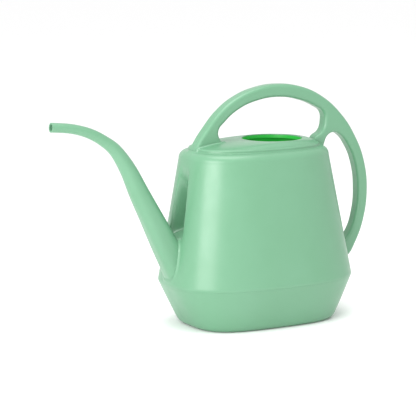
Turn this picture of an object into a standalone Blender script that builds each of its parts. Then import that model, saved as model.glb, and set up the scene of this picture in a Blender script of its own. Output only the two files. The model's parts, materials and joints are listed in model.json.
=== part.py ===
"""A plastic watering can: tank, deck, hoop handle and gooseneck spout.

Frame: +Z up, origin at the middle of the foot, spout towards -X, grip towards +X.
The can is symmetric about the plane Y = 0. Lengths here are millimetres and
become metres where a mesh is made.
"""

import bmesh
import bpy
from math import cos, pi, radians, sin
from mathutils import Vector

MM = 0.001

# Fits between pieces
GAP = 0.3                 # clearance wherever two pieces meet

# Walls
WALL = 2.3                # tank, pan and deck
LAP_WALL = 1.8            # the thinner rims that plug into a neighbour
LAP_DEPTH = 5.5           # how far the pan's rim goes up inside the tank
SKIRT_DEPTH = 8.0         # how far the deck's skirt goes down the mouth
HANDLE_WALL = 2.4

# Tank: half length, half width, squareness and middle of the plan section at three heights
FOOT_HALF_LENGTH = 95.7
FOOT_HALF_WIDTH = 63.0
GIRTH_HALF_LENGTH = 124.6
GIRTH_HALF_WIDTH = 82.5
TOP_HALF_LENGTH = 97.2
TOP_HALF_WIDTH = 62.5
FOOT_MIDDLE = 1.9         # X of the section's middle: the upper tank leans forward a little
GIRTH_MIDDLE = 0.7
TOP_MIDDLE = -1.7
SQUARENESS_FOOT = 3.2
SQUARENESS_GIRTH = 2.6
SQUARENESS_TOP = 2.45
GIRTH_HEIGHT = 55.5
CREASE = 0.8              # half the height of the narrow flat along the girth
SEAM_BELOW_GIRTH = 2.0    # the pan's rim is just under the crease
SHOULDER_HEIGHT = 206.5   # where the wall starts to roll over
SHOULDER_RADIUS = 10.5
SHOULDER_TURN = radians(76)
FOOT_RADIUS = 6.0

# Front channel that the spout's root sits in
CHANNEL_DEPTH = 28.0
CHANNEL_HALF_WIDTH = 18.5     # at its foot
CHANNEL_TOP_WIDTH = 12.0      # half width at its top
CHANNEL_SIDE = 8.0        # width of each rounded side of it
CHANNEL_TOP = 204.0       # it fades in below the shoulder
CHANNEL_FULL = 140.0      # is deepest from here
CHANNEL_EASE = 128.0      # to here
CHANNEL_BOTTOM = 111.0    # and closes on top of the spout's root

# Deck
DECK_INSET = 12.0         # from the wall at the shoulder to the deck's edge
DECK_EDGE_HEIGHT = 4.6
DECK_EDGE_RADIUS = 2.6
DECK_FULLNESS = 2.5       # how soon the dome rises: 1 is a cone, more is fuller
LEDGE_WIDTH = 5.0         # how far the tank's mouth ledge runs in under the deck
OPENING_RADIUS = 37.4
OPENING_FROM_MIDDLE = 23.7
OPENING_RISE = 10.5       # opening rim above the ledge
OPENING_LIP = 5.0         # turned-down edge of the opening

# Handle: section, and the lugs and pegs that place it
HANDLE_HALF_DEPTH = 8.5
HANDLE_EDGE_RADIUS = 4.4
LUG_FROM_MIDDLE = 2.6     # each half has its own lugs, clear of the joint between them
LUG_REACH = 6.5           # past the surface that the foot sits on
LUG_ROOT = 7.0            # and back into the foot
LUG_BITE = 0.5            # into the handle's wall, so that the two are one
DOME_AT_LUG = 2.0         # how far the dome has risen over its edge at the front lugs
FRONT_LUG = (-71.0, -59.0)    # along X, through the deck
REAR_LUG = (85.0, 92.5)       # along X, through the tank's shoulder
GRIP_LUG = (67.0, 78.0)       # along Z, through the rear wall
BOSS_RADIUS = 3.6
PEG_RADIUS = 1.7
PEG_REACH = 3.5

# Spout
SPOUT_WALL = 1.7
FOOT_PLATE = 2.2          # the plate that closes the spout's foot round its spigot
SPIGOT_HALF_DEPTH = 9.0
SPIGOT_HALF_WIDTH = 10.5
SPIGOT_RISE = 1.0         # the spigot's axis above the spout's
SPIGOT_REACH = 6.0        # how far the spigot stands inside the tank wall
SPIGOT_START = 12.0       # along the straight lower run, from its first station
SPIGOT_OVERRUN = 30.0     # past its last station, before the inside of the tank trims it
PORT_START = 5.0          # the port and the bore start before the spigot
PORT_OVERRUN = 34.0       # and run past it

# A box this far out on every side holds the whole can
BEYOND = 400.0

MINT = (0.305, 0.584, 0.402, 1.0)


def blend(a, b, t):
    return a + (b - a) * t


def smooth(t):
    t = min(max(t, 0.0), 1.0)
    return t * t * (3.0 - 2.0 * t)


def dome(share):
    """Height of the deck's dome as a share of its rise, from its edge (0) to the opening (1)."""
    return 1.0 - (1.0 - share) ** DECK_FULLNESS


# ---------------------------------------------------------------- plan sections

def wall_section(z):
    """Half length, half width, squareness and middle of the straight walls at a height."""
    if z < GIRTH_HEIGHT:
        t = z / GIRTH_HEIGHT
        return (blend(FOOT_HALF_LENGTH, GIRTH_HALF_LENGTH, t),
                blend(FOOT_HALF_WIDTH, GIRTH_HALF_WIDTH, t),
                blend(SQUARENESS_FOOT, SQUARENESS_GIRTH, t),
                blend(FOOT_MIDDLE, GIRTH_MIDDLE, t))
    t = (z - GIRTH_HEIGHT) / (SHOULDER_HEIGHT - GIRTH_HEIGHT)
    return (blend(GIRTH_HALF_LENGTH, TOP_HALF_LENGTH, t),
            blend(GIRTH_HALF_WIDTH, TOP_HALF_WIDTH, t),
            blend(SQUARENESS_GIRTH, SQUARENESS_TOP, t),
            blend(GIRTH_MIDDLE, TOP_MIDDLE, t))


def ring_angles(steps=24, crowding=1.6):
    """Directions round the plan, closest together at the front, where the channel is."""
    half = [pi * (1.0 - (i / steps) ** crowding) for i in range(steps + 1)]
    return half + [-angle for angle in reversed(half[1:-1])]


def oval(half_length, half_width, squareness, middle, inset):
    """A superellipse moved in along its own normal by an inset."""
    points = []
    for angle in ring_angles():
        c, s = cos(angle), sin(angle)
        size = (abs(c / half_length) ** squareness + abs(s / half_width) ** squareness)
        reach = size ** (-1.0 / squareness)
        x, y = reach * c, reach * s
        nx = abs(x / half_length) ** (squareness - 1) / half_length
        ny = abs(y / half_width) ** (squareness - 1) / half_width
        length = (nx * nx + ny * ny) ** 0.5
        nx = nx / length * (1 if x > 0 else -1)
        ny = ny / length * (1 if y > 0 else -1)
        points.append((middle + x - nx * inset, y - ny * inset))
    return points


def channel(y, z):
    """Depth of the front channel at a place on the wall."""
    climb = (z - CHANNEL_BOTTOM) / (CHANNEL_TOP - CHANNEL_BOTTOM)
    half_width = blend(CHANNEL_HALF_WIDTH, CHANNEL_TOP_WIDTH, min(max(climb, 0.0), 1.0))
    across = smooth((half_width - abs(y)) / CHANNEL_SIDE)
    if z >= CHANNEL_EASE:
        along = smooth((CHANNEL_TOP - z) / (CHANNEL_TOP - CHANNEL_FULL))
    else:
        along = smooth((z - CHANNEL_BOTTOM) / (CHANNEL_EASE - CHANNEL_BOTTOM))
    return CHANNEL_DEPTH * across * along


def wall_ring(z, inset=0.0, section_at=None):
    """One ring of the tank wall. Above the shoulder the section stays the shoulder's."""
    level = z if section_at is None else section_at
    ring = []
    for x, y in oval(*wall_section(level), inset):
        if x < 0:
            x += channel(y, level)
        ring.append(Vector((x, y, z)))
    return ring


def shoulder_rings(inset, steps=6):
    """Rings over the shoulder arc, for the outer face (inset 0) or one inside it."""
    rings = []
    for i in range(steps + 1):
        turn = SHOULDER_TURN * i / steps
        radius = SHOULDER_RADIUS - inset
        z = SHOULDER_HEIGHT + radius * sin(turn)
        inward = inset + radius * (1.0 - cos(turn))
        rings.append(wall_ring(z, inward, SHOULDER_HEIGHT))
    return rings


def wall_levels(runs=10):
    """Heights of the rings up the tank wall, shared by every piece that follows the wall."""
    levels = [GIRTH_HEIGHT - CREASE, GIRTH_HEIGHT + CREASE]
    return levels + [blend(GIRTH_HEIGHT, SHOULDER_HEIGHT, i / runs) for i in range(1, runs)]


LEDGE_HEIGHT = SHOULDER_HEIGHT + SHOULDER_RADIUS * sin(SHOULDER_TURN)
MOUTH_INSET = DECK_INSET + LEDGE_WIDTH
SEAM_HEIGHT = GIRTH_HEIGHT - SEAM_BELOW_GIRTH
DOME_SHARES = (0.2, 0.45, 0.75, 1.0)    # where the deck's rings lie between edge and opening


# ---------------------------------------------------------------- mesh helpers

def material(name, color, roughness):
    made = bpy.data.materials.new(name)
    made.use_nodes = True
    shader = made.node_tree.nodes["Principled BSDF"]
    shader.inputs["Base Color"].default_value = color
    shader.inputs["Roughness"].default_value = roughness
    shader.inputs["Metallic"].default_value = 0.0
    return made


def mesh_object(name, rings, close_profile, collection):
    """Skin a list of equal rings. A profile that closes on itself needs no caps."""
    bm = bmesh.new()
    rows = [[bm.verts.new(point * MM) for point in ring] for ring in rings]
    count = len(rows[0])
    pairs = list(zip(rows, rows[1:]))
    if close_profile:
        pairs.append((rows[-1], rows[0]))
    for low, high in pairs:
        for i in range(count):
            j = (i + 1) % count
            # Always the same diagonal, so that nested skins have parallel facets
            bm.faces.new((low[i], low[j], high[j]))
            bm.faces.new((low[i], high[j], high[i]))
    if not close_profile:
        bm.faces.new(rows[0])
        bm.faces.new(rows[-1])
    bmesh.ops.recalc_face_normals(bm, faces=bm.faces)
    mesh = bpy.data.meshes.new(name)
    bm.to_mesh(mesh)
    bm.free()
    made = bpy.data.objects.new(name, mesh)
    collection.objects.link(made)
    return made


def box_object(name, low, high, collection):
    bm = bmesh.new()
    bmesh.ops.create_cube(bm, size=1.0)
    for vert in bm.verts:
        for k in range(3):
            vert.co[k] = (low[k] if vert.co[k] < 0 else high[k]) * MM
    mesh = bpy.data.meshes.new(name)
    bm.to_mesh(mesh)
    bm.free()
    made = bpy.data.objects.new(name, mesh)
    collection.objects.link(made)
    return made


def cutter(made):
    """A helper is drawn as wire and left out of a render."""
    made.hide_render = True
    made.display_type = "WIRE"
    return made


def boolean(target, other, operation):
    modifier = target.modifiers.new(operation.lower() + "_" + other.name, "BOOLEAN")
    modifier.operation = operation
    modifier.object = other
    modifier.solver = "EXACT"


def finish(made, look):
    made.data.materials.clear()
    made.data.materials.append(look)
    made.data.shade_smooth()
    made.data.set_sharp_from_angle(angle=radians(40))


# ---------------------------------------------------------------- tank pieces

def base_pan(collection):
    """Floor and skirt, with a lap rim that stands up inside the tank's lower edge."""
    rings = []
    for i in range(5):
        turn = radians(90) * (1 - i / 4)
        rings.append(wall_ring(FOOT_RADIUS * (1 - cos(radians(90) - turn)),
                               FOOT_RADIUS * (1 - sin(radians(90) - turn))))
    rings.append(wall_ring(blend(FOOT_RADIUS, SEAM_HEIGHT, 0.5)))
    rings.append(wall_ring(SEAM_HEIGHT))
    lap = WALL + GAP
    rim = (SEAM_HEIGHT, GIRTH_HEIGHT - CREASE, GIRTH_HEIGHT + CREASE, SEAM_HEIGHT + LAP_DEPTH)
    rings += [wall_ring(z, lap) for z in rim]
    rings += [wall_ring(z, lap + LAP_WALL) for z in rim[:0:-1]]
    rings.append(wall_ring(SEAM_HEIGHT - LAP_DEPTH, WALL))
    inner = FOOT_RADIUS - WALL
    for i in range(4):
        turn = radians(90) * i / 3
        rings.append(wall_ring(WALL + inner * (1 - sin(turn)), WALL + inner * (1 - cos(turn))))
    return mesh_object("base_pan", rings, False, collection)


def tank_shell(collection):
    levels = [SEAM_HEIGHT + GAP] + wall_levels()
    outer = [wall_ring(z) for z in levels] + shoulder_rings(0.0)
    outer.append(wall_ring(LEDGE_HEIGHT, MOUTH_INSET, SHOULDER_HEIGHT))
    inner = [wall_ring(z, WALL) for z in levels] + shoulder_rings(WALL)
    inner.append(wall_ring(LEDGE_HEIGHT - WALL, MOUTH_INSET, SHOULDER_HEIGHT))
    return mesh_object("tank_shell", outer + inner[::-1], True, collection)


def deck_ring(z, inset, share):
    """A ring between the deck's oval edge (share 0) and the round opening (share 1)."""
    edge = oval(*wall_section(SHOULDER_HEIGHT), DECK_INSET + inset)
    ring = []
    for (x, y), angle in zip(edge, ring_angles()):
        round_x = OPENING_FROM_MIDDLE + OPENING_RADIUS * cos(angle)
        round_y = OPENING_RADIUS * sin(angle)
        ring.append(Vector((blend(x, round_x, share), blend(y, round_y, share), z)))
    return ring


def top_deck(collection):
    """Domed deck. Its skirt plugs into the tank's mouth and its edge sits on the ledge."""
    seat = LEDGE_HEIGHT + GAP
    edge_top = seat + DECK_EDGE_HEIGHT
    skirt = LEDGE_WIDTH + GAP
    rise = LEDGE_HEIGHT + OPENING_RISE - edge_top
    rings = [deck_ring(seat - SKIRT_DEPTH, skirt, 0.0), deck_ring(seat, skirt, 0.0)]
    rings.append(deck_ring(seat, 0.0, 0.0))
    for i in range(4):
        turn = radians(90) * i / 3
        rings.append(deck_ring(edge_top - DECK_EDGE_RADIUS * (1 - sin(turn)),
                               DECK_EDGE_RADIUS * (1 - cos(turn)), 0.0))
    for share in DOME_SHARES:
        rings.append(deck_ring(edge_top + rise * dome(share), DECK_EDGE_RADIUS, share))
    top = edge_top + rise
    rings.append(deck_ring(top - OPENING_LIP, 0.0, 1.0))
    lip = LAP_WALL / OPENING_RADIUS
    rings.append(deck_ring(top - OPENING_LIP, skirt + LAP_WALL, 1.0 - lip))
    for share in DOME_SHARES[-2::-1]:
        rings.append(deck_ring(edge_top - WALL + rise * dome(share), skirt + LAP_WALL, share))
    rings.append(deck_ring(edge_top - WALL, skirt + LAP_WALL, 0.0))
    rings.append(deck_ring(seat - SKIRT_DEPTH, skirt + LAP_WALL, 0.0))
    return mesh_object("top_deck", rings, True, collection)


def envelope(name, gap, collection):
    """The closed outside of the can, a gap larger. It shapes the feet of what sits on it."""
    grow = -gap
    levels = [0.0, GIRTH_HEIGHT / 2] + wall_levels()
    rings = [wall_ring(z, grow) for z in levels] + shoulder_rings(grow)
    rings.append(wall_ring(LEDGE_HEIGHT + gap, DECK_INSET + grow, SHOULDER_HEIGHT))
    edge_top = LEDGE_HEIGHT + GAP + DECK_EDGE_HEIGHT + gap
    rise = LEDGE_HEIGHT + OPENING_RISE + gap - edge_top
    for i in range(4):
        turn = radians(90) * i / 3
        rings.append(deck_ring(edge_top - DECK_EDGE_RADIUS * (1 - sin(turn)),
                               DECK_EDGE_RADIUS * (1 - cos(turn)) + grow, 0.0))
    for share in DOME_SHARES:
        rings.append(deck_ring(edge_top + rise * dome(share), DECK_EDGE_RADIUS, share))
    return cutter(mesh_object(name, rings, False, collection))


def tank_core(name, inset, collection):
    """The space inside the tank wall, at an inset from its outer face."""
    rings = [wall_ring(z, inset) for z in [0.0] + wall_levels() + [SHOULDER_HEIGHT]]
    return cutter(mesh_object(name, rings, False, collection))


# ---------------------------------------------------------------- handle

# Stations on the outline of the hoop, X and Z, from the front foot over the top,
# down the grip and back along the inside. Each ends with the foot inside the can.
OUTER_EDGE = [(-92.0, 206.0), (-90.6, 217.0), (-84.2, 229.2), (-73.7, 243.3), (-53.9, 264.9),
              (-29.6, 281.1), (0.0, 291.0), (31.0, 293.9), (62.0, 289.6), (92.0, 276.9),
              (121.9, 252.9), (144.8, 221.6), (158.9, 188.3), (163.6, 152.0),
              (158.6, 115.0), (147.0, 86.0), (134.5, 68.0), (114.0, 58.0)]
GRIP_INNER_EDGE = [(108.0, 82.0), (125.0, 87.5), (138.0, 101.5), (146.0, 123.0),
                   (149.0, 152.0), (144.2, 187.5), (132.0, 213.5), (121.0, 225.5),
                   (112.0, 229.0), (102.5, 225.5), (97.5, 216.0), (94.0, 204.0)]
ARCH_INNER_EDGE = [(79.0, 212.0), (83.0, 224.6), (93.6, 232.5), (97.3, 243.0), (95.8, 255.2),
                   (84.2, 263.6), (57.7, 273.7), (31.0, 277.9), (0.0, 275.2), (-27.4, 265.6),
                   (-47.0, 251.4), (-56.0, 240.0), (-53.3, 230.5), (-44.0, 223.0),
                   (-42.0, 212.0)]


def handle_outline():
    return OUTER_EDGE + GRIP_INNER_EDGE + ARCH_INNER_EDGE


def handle_solid(name, shrink, half_depth, edge_radius, collection):
    """The hoop as a flat outline with depth and rounded edges, turned upright."""
    curve = bpy.data.curves.new(name, "CURVE")
    curve.dimensions = "2D"
    curve.fill_mode = "BOTH"
    curve.resolution_u = 3
    curve.extrude = (half_depth - edge_radius) * MM
    curve.bevel_depth = edge_radius * MM
    curve.bevel_resolution = 2
    curve.offset = -(edge_radius + shrink) * MM
    outline = handle_outline()
    spline = curve.splines.new("BEZIER")
    spline.bezier_points.add(len(outline) - 1)
    for point, (x, z) in zip(spline.bezier_points, outline):
        point.co = (x * MM, z * MM, 0.0)
        point.handle_left_type = "AUTO"
        point.handle_right_type = "AUTO"
    spline.use_cyclic_u = True
    holder = bpy.data.objects.new(name + "_curve", curve)
    bpy.context.scene.collection.objects.link(holder)
    bpy.context.view_layer.update()
    graph = bpy.context.evaluated_depsgraph_get()
    mesh = bpy.data.meshes.new_from_object(holder.evaluated_get(graph))
    bpy.data.objects.remove(holder)
    bm = bmesh.new()
    bm.from_mesh(mesh)
    bmesh.ops.remove_doubles(bm, verts=bm.verts, dist=0.00001)
    for vert in bm.verts:
        vert.co = Vector((vert.co.x, -vert.co.z, vert.co.y))
    bmesh.ops.recalc_face_normals(bm, faces=bm.faces)
    bm.to_mesh(mesh)
    bm.free()
    made = bpy.data.objects.new(name, mesh)
    collection.objects.link(made)
    return made


# Places along the hoop where the halves are pegged together
PEG_PLACES = [(31.0, 286.4), (113.0, 243.0), (156.4, 152.0)]


def cylinder_object(name, radius, length, centre, collection):
    """A round bar along Y."""
    bm = bmesh.new()
    bmesh.ops.create_cone(bm, cap_ends=True, segments=20, radius1=radius * MM,
                          radius2=radius * MM, depth=length * MM)
    for vert in bm.verts:
        x, y, z = vert.co
        vert.co = (x + centre[0] * MM, centre[1] * MM - z, y + centre[2] * MM)
    mesh = bpy.data.meshes.new(name)
    bm.to_mesh(mesh)
    bm.free()
    made = bpy.data.objects.new(name, mesh)
    collection.objects.link(made)
    return cutter(made)


def lug_boxes(side, clearance):
    """The three lugs of one half as (name, low, high), or their slots with a clearance."""
    inner = LUG_FROM_MIDDLE - clearance
    outer = HANDLE_HALF_DEPTH - HANDLE_WALL + LUG_BITE + clearance
    low_y, high_y = (inner, outer) if side > 0 else (-outer, -inner)
    deck_top = LEDGE_HEIGHT + DECK_EDGE_HEIGHT + DOME_AT_LUG
    ledge = LEDGE_HEIGHT
    half_length, _, _, middle = wall_section(GRIP_LUG[0])
    wall_x = middle + half_length
    return [
        ("front", (FRONT_LUG[0] - clearance, low_y, deck_top - WALL - LUG_REACH),
         (FRONT_LUG[1] + clearance, high_y, deck_top + LUG_ROOT)),
        ("rear", (REAR_LUG[0] - clearance, low_y, ledge - WALL - LUG_REACH),
         (REAR_LUG[1] + clearance, high_y, ledge + LUG_ROOT)),
        ("grip", (wall_x - 2 * WALL - LUG_REACH, low_y, GRIP_LUG[0] - clearance),
         (wall_x + LUG_ROOT, high_y, GRIP_LUG[1] + clearance)),
    ]


def handle_half(name, side, hoop, pocket, outside, parts, tools):
    """One half of the hoop: a shell with lugs at its feet and peg bosses."""
    low_y, high_y = (GAP / 2, BEYOND) if side > 0 else (-BEYOND, -GAP / 2)
    made = hoop.copy()
    made.data = hoop.data.copy()
    made.name = name
    made.hide_render = False
    made.display_type = "TEXTURED"
    parts.objects.link(made)
    space = box_object(name + "_side", (-BEYOND, low_y, -BEYOND), (BEYOND, high_y, BEYOND),
                       tools)
    boolean(made, cutter(space), "INTERSECT")
    boolean(made, outside, "DIFFERENCE")
    boolean(made, pocket, "DIFFERENCE")
    for lug, low, high in lug_boxes(side, 0.0):
        boolean(made, cutter(box_object(name + "_lug_" + lug, low, high, tools)), "UNION")
    wall_middle = HANDLE_HALF_DEPTH - HANDLE_WALL / 2
    boss_length = wall_middle - GAP / 2
    for i, (x, z) in enumerate(PEG_PLACES):
        centre = (x, side * (GAP / 2 + boss_length / 2), z)
        boolean(made, cylinder_object(f"{name}_boss_{i}", BOSS_RADIUS, boss_length, centre,
                                      tools), "UNION")
        if side > 0:
            socket = (x, PEG_REACH / 2, z)
            boolean(made, cylinder_object(f"{name}_socket_{i}", PEG_RADIUS + GAP,
                                          PEG_REACH + 2 * GAP, socket, tools), "DIFFERENCE")
        else:
            peg = (x, (PEG_REACH - wall_middle) / 2, z)
            boolean(made, cylinder_object(f"{name}_peg_{i}", PEG_RADIUS,
                                          PEG_REACH + wall_middle, peg, tools), "UNION")
    return made


# ---------------------------------------------------------------- spout

# Stations on the spout's axis from the tip down: X, Z, then half the section's depth
# in the plane Y = 0, half its width across it, and its squareness
SPOUT_AXIS = [(-277.0, 257.6, 5.8, 5.8, 2.0), (-257.0, 255.6, 5.8, 5.8, 2.0),
              (-241.4, 252.4, 5.9, 5.9, 2.0), (-225.9, 247.0, 6.3, 6.3, 2.0),
              (-210.2, 238.4, 6.8, 6.8, 2.0), (-193.6, 225.2, 8.0, 8.2, 2.0),
              (-177.3, 201.7, 10.1, 10.1, 2.0), (-162.3, 171.6, 12.1, 12.4, 2.2),
              (-146.5, 141.6, 13.5, 14.2, 2.5), (-130.0, 110.0, 15.3, 15.2, 2.9),
              (-117.5, 86.0, 16.2, 16.0, 3.0), (-104.5, 61.0, 17.3, 16.5, 3.0)]


def spline_point(stations, i, t):
    """A point of the Catmull-Rom curve through the stations."""
    last = len(stations) - 1
    p = [stations[min(max(i + k, 0), last)] for k in (-1, 0, 1, 2)]
    return [0.5 * (2 * b + (c - a) * t + (2 * a - 5 * b + 4 * c - d) * t * t
                   + (3 * b - a - 3 * c + d) * t ** 3) for a, b, c, d in zip(*p)]


def spout_stations(steps=2):
    points = []
    for i in range(len(SPOUT_AXIS) - 1):
        for step in range(steps):
            points.append(spline_point(SPOUT_AXIS, i, step / steps))
    points.append(list(SPOUT_AXIS[-1]))
    return points


def oval_tube(name, stations, collection, sides=18):
    """A closed solid along stations of (X, Z, half depth, half width, squareness)."""
    turns = [2 * pi * k / sides for k in range(sides)]
    rings = []
    for i, (x, z, depth, width, power) in enumerate(stations):
        before = stations[max(i - 1, 0)]
        after = stations[min(i + 1, len(stations) - 1)]
        along = Vector((after[0] - before[0], 0.0, after[1] - before[1])).normalized()
        up = Vector((-along.z, 0.0, along.x))
        middle = Vector((x, 0.0, z))
        grow = [(abs(cos(turn)) ** power + abs(sin(turn)) ** power) ** (-1 / power)
                for turn in turns]
        rings.append([middle + up * (depth * cos(turn) * size)
                      + Vector((0.0, width * sin(turn) * size, 0.0))
                      for turn, size in zip(turns, grow)])
    return mesh_object(name, rings, False, collection)


def spigot_stations(grow, start_after, overrun):
    """The straight lower run of the spout's axis, with the spigot's own section."""
    x0, z0 = SPOUT_AXIS[-3][:2]
    x1, z1 = SPOUT_AXIS[-1][:2]
    along = Vector((x1 - x0, z1 - z0)).normalized()
    up = Vector((-along.y, along.x)) * SPIGOT_RISE
    start = Vector((x0, z0)) + up + along * start_after
    end = Vector((x1, z1)) + up + along * overrun
    section = (SPIGOT_HALF_DEPTH + grow, SPIGOT_HALF_WIDTH + grow, 2.0)
    return [(start.x, start.y) + section, (end.x, end.y) + section]


def spout(outside, parts, tools):
    stations = spout_stations()
    made = oval_tube("spout", stations, parts)
    bore = []
    for x, z, depth, width, power in stations:
        bore.append((x, z, depth - SPOUT_WALL, width - SPOUT_WALL, power))
    tip, second = bore[0], bore[1]
    bore[0] = (2 * tip[0] - second[0], 2 * tip[1] - second[1]) + tip[2:]
    bore = cutter(oval_tube("spout_bore", bore, tools))
    boolean(bore, envelope("foot_plate_face", GAP + FOOT_PLATE, tools), "DIFFERENCE")
    spigot = cutter(oval_tube("spigot", spigot_stations(0.0, SPIGOT_START, SPIGOT_OVERRUN),
                              tools))
    boolean(spigot, tank_core("spigot_end", WALL + SPIGOT_REACH, tools), "DIFFERENCE")
    spigot_bore = cutter(oval_tube(
        "spigot_bore", spigot_stations(-LAP_WALL, PORT_START, PORT_OVERRUN), tools))
    boolean(made, outside, "DIFFERENCE")
    boolean(made, bore, "DIFFERENCE")
    boolean(made, spigot, "UNION")
    boolean(made, spigot_bore, "DIFFERENCE")
    return made


def main():
    for old in list(bpy.data.objects):
        bpy.data.objects.remove(old)
    parts = bpy.data.collections.new("watering_can")
    tools = bpy.data.collections.new("cutters")
    bpy.context.scene.collection.children.link(parts)
    bpy.context.scene.collection.children.link(tools)
    look = material("mint_plastic", MINT, 0.38)
    outside = envelope("outside", GAP, tools)
    pan = base_pan(parts)
    tank = tank_shell(parts)
    deck = top_deck(parts)
    port = cutter(oval_tube("spout_port", spigot_stations(GAP, PORT_START, PORT_OVERRUN),
                            tools))
    boolean(port, tank_core("port_end", 4 * WALL, tools), "DIFFERENCE")
    boolean(tank, port, "DIFFERENCE")
    for side in (1, -1):
        for lug, low, high in lug_boxes(side, GAP):
            slot = cutter(box_object(f"slot_{lug}_{side}", low, high, tools))
            boolean(deck if lug == "front" else tank, slot, "DIFFERENCE")
    hoop = cutter(handle_solid("hoop", 0.0, HANDLE_HALF_DEPTH, HANDLE_EDGE_RADIUS, tools))
    pocket = cutter(handle_solid("hoop_pocket", HANDLE_WALL, HANDLE_HALF_DEPTH - HANDLE_WALL,
                                 HANDLE_EDGE_RADIUS - HANDLE_WALL / 2, tools))
    left = handle_half("handle_left", -1, hoop, pocket, outside, parts, tools)
    right = handle_half("handle_right", 1, hoop, pocket, outside, parts, tools)
    tube = spout(outside, parts, tools)
    for piece in (pan, tank, deck, left, right, tube):
        finish(piece, look)


main()
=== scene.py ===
"""The looks of a plastic watering can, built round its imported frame.

Run it as a script in Blender 4.5. Everything is in metres in the frame's own axes:
+Z up, the foot on Z = 0, the spout towards -X, and the can symmetric about Y = 0.
"""

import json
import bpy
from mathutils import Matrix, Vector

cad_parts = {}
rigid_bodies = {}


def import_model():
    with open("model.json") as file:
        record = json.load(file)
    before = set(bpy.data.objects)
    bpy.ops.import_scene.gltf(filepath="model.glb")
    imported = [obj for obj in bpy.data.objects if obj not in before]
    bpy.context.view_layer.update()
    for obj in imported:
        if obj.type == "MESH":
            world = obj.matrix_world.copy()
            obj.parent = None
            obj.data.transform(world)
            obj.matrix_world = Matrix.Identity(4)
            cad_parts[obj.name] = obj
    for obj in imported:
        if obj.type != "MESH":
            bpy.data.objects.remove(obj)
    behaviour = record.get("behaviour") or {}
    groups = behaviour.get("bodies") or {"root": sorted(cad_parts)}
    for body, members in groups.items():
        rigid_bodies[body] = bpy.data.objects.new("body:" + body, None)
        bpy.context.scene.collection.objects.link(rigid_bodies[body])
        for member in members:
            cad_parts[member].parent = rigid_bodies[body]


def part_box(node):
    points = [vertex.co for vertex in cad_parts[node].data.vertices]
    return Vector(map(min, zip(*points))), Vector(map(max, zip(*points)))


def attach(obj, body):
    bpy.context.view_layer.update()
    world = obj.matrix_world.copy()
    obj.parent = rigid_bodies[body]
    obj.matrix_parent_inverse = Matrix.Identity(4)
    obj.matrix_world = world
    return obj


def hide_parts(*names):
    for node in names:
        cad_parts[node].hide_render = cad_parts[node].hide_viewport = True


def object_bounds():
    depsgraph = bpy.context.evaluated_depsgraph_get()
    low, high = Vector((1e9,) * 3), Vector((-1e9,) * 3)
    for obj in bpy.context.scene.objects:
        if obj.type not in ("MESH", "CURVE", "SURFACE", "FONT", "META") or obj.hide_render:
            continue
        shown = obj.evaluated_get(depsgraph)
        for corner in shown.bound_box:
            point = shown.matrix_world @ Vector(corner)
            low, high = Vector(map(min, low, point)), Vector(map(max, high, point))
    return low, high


bl_info = {
    "name": "Watering can",
    "version": (1, 0, 0),
    "blender": (4, 5, 0),
    "location": "3D View > Sidebar > Watering can",
    "description": "Builds the pieces of a moulded watering can and its studio",
    "category": "Add Mesh",
}

from math import pi, radians, sin

import bmesh
import bpy
import numpy as np
from bpy.props import FloatProperty, FloatVectorProperty, IntProperty, PointerProperty
from bpy.types import Operator, Panel, PropertyGroup
from mathutils import Vector

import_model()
CAD_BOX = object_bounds()
BODY = "root"
MM = 0.001

# Lengths in metres that only keep meshes sound or their rings well spread
MERGE = 1e-6               # points this close are one
SLIVER = 0.00002           # keeps two rings that would meet apart
RIM_STEP = 0.001           # from the pan's rim down to the ring under it
RIM_SEAT = 0.0055          # depth of the straight inside of the pan's rim
FLOOR_REACH = 0.05         # from the foot's edge in to the first ring of the floor
BORE_OVERRUN = 0.002       # how far the bore is cut past each end of the spout
FLOOR_GAP = 0.0002         # from the foot down to the paper


# ---------------------------------------------------------------- settings

def linear(hex_colour):
    """An sRGB hex colour as linear red, green and blue."""
    levels = [int(hex_colour[i:i + 2], 16) / 255 for i in (0, 2, 4)]
    return tuple(v / 12.92 if v <= 0.04045 else ((v + 0.055) / 1.055) ** 2.4 for v in levels)


def length(name, description, default):
    return FloatProperty(name=name, description=description, default=default,
                         unit="LENGTH", precision=5)


def placing(name, description, default):
    return FloatVectorProperty(name=name, description=description, default=default,
                               size=len(default), subtype="XYZ", unit="LENGTH")


def number(name, description, default):
    return FloatProperty(name=name, description=description, default=default, precision=3)


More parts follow.
